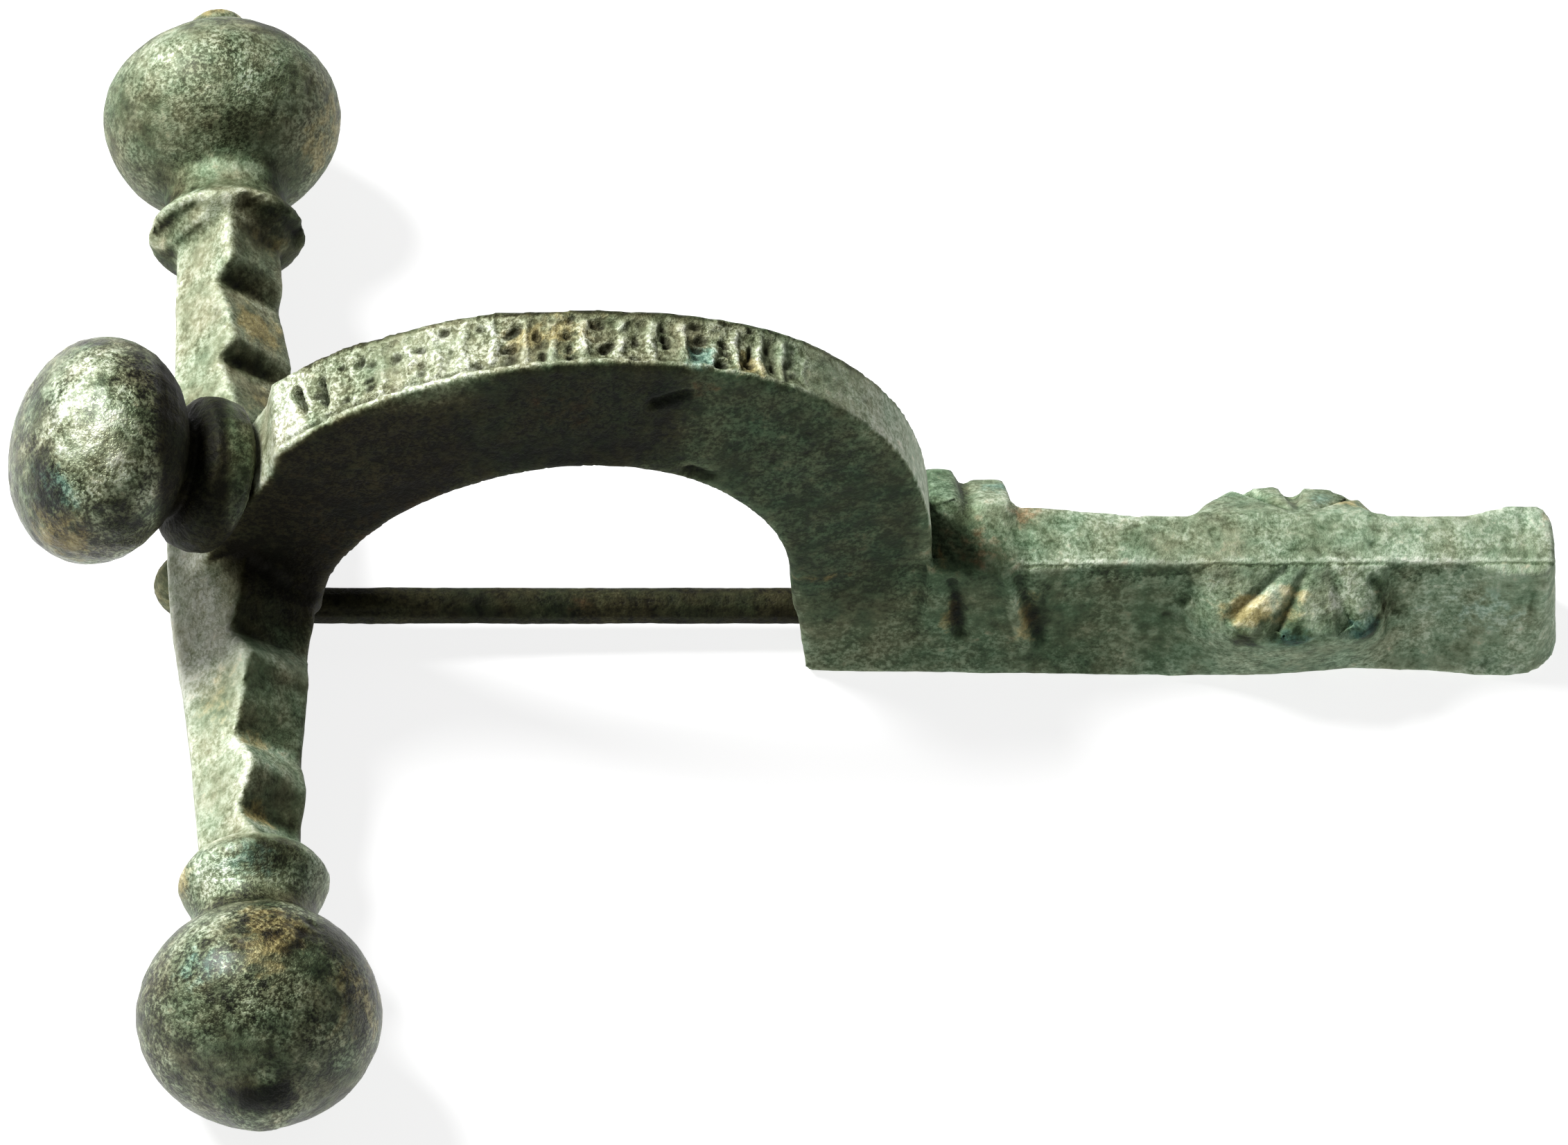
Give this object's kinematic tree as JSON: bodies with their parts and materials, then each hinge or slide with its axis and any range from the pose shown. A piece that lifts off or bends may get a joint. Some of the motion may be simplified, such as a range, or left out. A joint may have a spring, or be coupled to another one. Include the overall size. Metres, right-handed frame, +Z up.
{
  "type": "roman crossbow fibula brooch",
  "caption": "Cast bronze crossbow brooch with an arched bow, a long carved foot, onion knobs on its crossbar and a hinged pin.",
  "frame": {"origin": "middle of the plan, at the level of the table that the brooch rests on", "axes": "+X from the crossbar to the tip of the foot, +Y along the crossbar, +Z up through the top of the bow"},
  "size_m": [0.0818, 0.0695, 0.026],
  "materials": {
    "casting_bronze": "cast bronze with a dull grey-green patina, pale on the worn ridges",
    "knob_bronze": "cast bronze with a dark pitted olive patina",
    "pin_bronze": "dark brown corroded bronze wire"
  },
  "bodies": {
    "brooch": {"bow_casting": "casting_bronze", "head_knob": "knob_bronze", "hinge_rod": "pin_bronze"},
    "pin": {"pin": "pin_bronze"}
  },
  "joints": [
    {"name": "pin_hinge", "type": "hinge", "parent": "brooch", "child": "pin", "pos_m": [-0.03005, 0, 0.00385], "axis": [0, 1, 0], "range_deg": [0, 90]}
  ]
}
